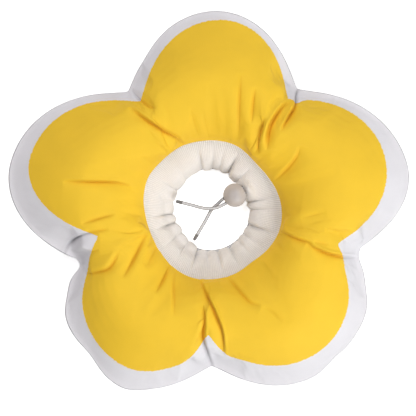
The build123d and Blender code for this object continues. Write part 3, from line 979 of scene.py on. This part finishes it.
def cord_material(n, over):
    """Smooth braided cord, pale where it faces the eye, with painted shade towards its sides and between the
    strands of the braid.
    """
    fibre = n.noise(n.position(), 2500.0, 2)
    # painted shade between the strands of the braid, times a random tone of the fibres
    shade = n.math("MULTIPLY", n.remap(over, -0.8, 0.6, 0.90, 1.0), n.remap(fibre, 0.3, 0.7, 0.96, 1.03))
    # painted shade towards the sides of the cord, where it turns away from the eye
    facing = n.tree.nodes.new("ShaderNodeLayerWeight").outputs["Facing"]
    colour = n.mix(n.remap(facing, 0.06, 0.50, 0.0, 1.0), CORD_LIGHT, CORD_DARK)
    n.principled(
        Base_Color=n.scaled(colour, shade),
        Roughness=0.5,
        Sheen_Weight=0.1,
        Specular_IOR_Level=0.4,
    )
    n.bump(n.math("ADD", over, n.math("MULTIPLY", fibre, 0.5)), 0.00006, 0.4)
    return n.material


def tail_cord_material():
    n = Nodes("braided_cord")
    turn = n.math("MULTIPLY", n.attribute("along"), 2 * math.pi / BRAID_PITCH_MM)
    strands = n.math("MULTIPLY", n.attribute("around"), BRAID_STRANDS / 2)
    one = n.math("COSINE", n.math("ADD", strands, turn))
    two = n.math("COSINE", n.math("SUBTRACT", strands, turn))
    return cord_material(n, n.math("MULTIPLY", one, two))


def lead_cord_material():
    """The same cord on the loop and leads, whose surface has no braid coordinates."""
    n = Nodes("braided_cord_leads")
    x, y, z = n.split(n.position())
    across = n.math("ADD", x, y)
    one = n.math("SINE", n.math("MULTIPLY", n.math("ADD", across, z), LEAD_WAVES))
    two = n.math("SINE", n.math("MULTIPLY", n.math("SUBTRACT", across, z), LEAD_WAVES))
    return cord_material(n, n.math("MULTIPLY", one, two))


def plastic_material(name, colour, rough, grain, frosted):
    n = Nodes(name)
    place = n.position()
    soft = n.noise(place, 180.0, 3)
    fine = n.noise(place, grain, 2)
    n.principled(
        Base_Color=n.scaled(colour, n.remap(soft, 0.3, 0.7, 0.95, 1.04)),
        Roughness=n.remap(fine, 0.3, 0.7, rough - 0.05, rough + 0.07),
        Specular_IOR_Level=0.45,
    )
    if frosted:
        n.principled(Subsurface_Weight=0.35, Subsurface_Scale=0.004, Transmission_Weight=0.12)
        n.bsdf.inputs["Subsurface Radius"].default_value = (1.0, 0.9, 0.8)
    n.bump(fine, 0.00004, 0.4)
    return n.material


def steel_material():
    n = Nodes("spring_steel")
    grain = n.noise(n.position(), 4000.0, 2)
    n.principled(Base_Color=STEEL, Metallic=1.0, Roughness=n.remap(grain, 0.3, 0.7, 0.24, 0.38))
    n.bump(grain, 0.00002, 0.3)
    return n.material


def floor_material():
    """Pale paper that the camera sees a little brighter than it lights the collar."""
    n = Nodes("studio_floor")
    paper = n.remap(n.noise(n.position(), 40.0, 2), 0.3, 0.7, 0.985, 1.0)
    seen = n.tree.nodes.new("ShaderNodeLightPath").outputs["Is Camera Ray"]
    n.principled(
        Base_Color=n.scaled(PAPER, paper),
        Roughness=0.9,
        Specular_IOR_Level=0.1,
        Emission_Color=(1.0, 1.0, 1.0),
        Emission_Strength=n.math("MULTIPLY", seen, FLOOR_LIFT),
    )
    return n.material


materials = {
    "print": cover_material("printed_polyester", True),
    "white": cover_material("white_polyester", False),
    "knit": knit_material(),
    "cord": tail_cord_material(),
    "leads": lead_cord_material(),
    "sleeve": plastic_material("sleeve_plastic", SLEEVE_GREY, 0.4, 2200.0, False),
    "lock": plastic_material("frosted_plastic", LOCK_GREY, 0.42, 1500.0, True),
    "button": plastic_material("button_plastic", BUTTON_GREY, 0.45, 1500.0, False),
    "steel": steel_material(),
}


CORE_NODES = ["core_front_cover", "core_back_cover", "core_filling"]
for k, piece in enumerate(build_cushion(), 1):
    body = f"petal_{k}"
    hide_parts(f"{body}_front_cover", f"{body}_back_cover", f"{body}_filling", *CORE_NODES)
    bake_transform(piece)

cuff = build_cuff()
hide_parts("neck_cuff")
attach(cuff, "collar_core")

for body in TAILS:
    braid, cap = build_tail(body)
    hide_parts(f"{body}_cord")
    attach(braid, body)
    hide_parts(f"{body}_sleeve")
    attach(cap, body)

spring, spring_top = build_spring()
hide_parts("lock_spring")
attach(spring, "cord_lock")
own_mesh(spring)


def dress(node, material):
    mesh = nodes[node].data
    mesh.materials.clear()
    mesh.materials.append(material)


dress("lock_housing", materials["lock"])
dress("lock_button", materials["button"])
dress("draw_cord", materials["leads"])

# ---- studio ----
FLOOR_HALF = 3.0
corners = [(FLOOR_HALF * x, FLOOR_HALF * y, 0) for x, y in ((-1, -1), (1, -1), (1, 1), (-1, 1))]
floor = new_object("floor", corners, [(0, 1, 2, 3)])
floor.data.materials.append(floor_material())

WORLD_STRENGTH = 0.06
BACKDROP_STRENGTH = 0.95       # what the camera sees beyond the floor
LIGHT_DISTANCE = 1.7
# studio lights that all look at the neck: azimuth, elevation (degrees), size (m), power (W), colour
LIGHTS = {
    "key": (-54.0, 34.0, 1.0, 22.5, (1.0, 0.995, 0.98)),
    "fill": (132.0, 60.0, 1.2, 15.0, (1.0, 0.955, 0.945)),
    "side": (58.0, 42.0, 1.2, 8.0, (1.0, 1.0, 1.0)),
}

world = bpy.data.worlds.new("studio")
world.use_nodes = True
world.node_tree.nodes["Background"].inputs[0].default_value = (1.0, 0.97, 0.96, 1.0)
seen = world.node_tree.nodes.new("ShaderNodeLightPath").outputs["Is Camera Ray"]
strength = world.node_tree.nodes.new("ShaderNodeMapRange")
strength.inputs["To Min"].default_value = WORLD_STRENGTH
strength.inputs["To Max"].default_value = BACKDROP_STRENGTH
world.node_tree.links.new(seen, strength.inputs["Value"])
world.node_tree.links.new(strength.outputs[0], world.node_tree.nodes["Background"].inputs[1])
scene.world = world


def area_light(name, azimuth, elevation, size, power, colour):
    light = bpy.data.lights.new(name, "AREA")
    light.size = size
    light.energy = power
    light.color = colour
    obj = bpy.data.objects.new(name, light)
    turn, lift = math.radians(azimuth), math.radians(elevation)
    toward = Vector((math.cos(lift) * math.cos(turn), math.cos(lift) * math.sin(turn), math.sin(lift)))
    obj.location = toward * LIGHT_DISTANCE
    obj.rotation_euler = (-toward).to_track_quat("-Z", "Y").to_euler()
    scene.collection.objects.link(obj)


for name, settings in LIGHTS.items():
    area_light(name, *settings)

CAMERA_HEIGHT = 2.0
SENSOR_WIDTH = 36.0
FRAME_WIDTH = 0.3328           # width that the camera takes in at the height of the seam
CAMERA_SHIFT = (-0.0016, 0.0012)
camera_data = bpy.data.cameras.new("camera")
camera_data.sensor_width = SENSOR_WIDTH
camera_data.lens = SENSOR_WIDTH * (CAMERA_HEIGHT - SEAM_Z_MM * MM) / FRAME_WIDTH
camera = bpy.data.objects.new("camera", camera_data)
camera.location = (CAMERA_SHIFT[0], CAMERA_SHIFT[1], CAMERA_HEIGHT)
scene.collection.objects.link(camera)
scene.camera = camera
scene.view_settings.view_transform = "Standard"
scene.view_settings.look = "None"
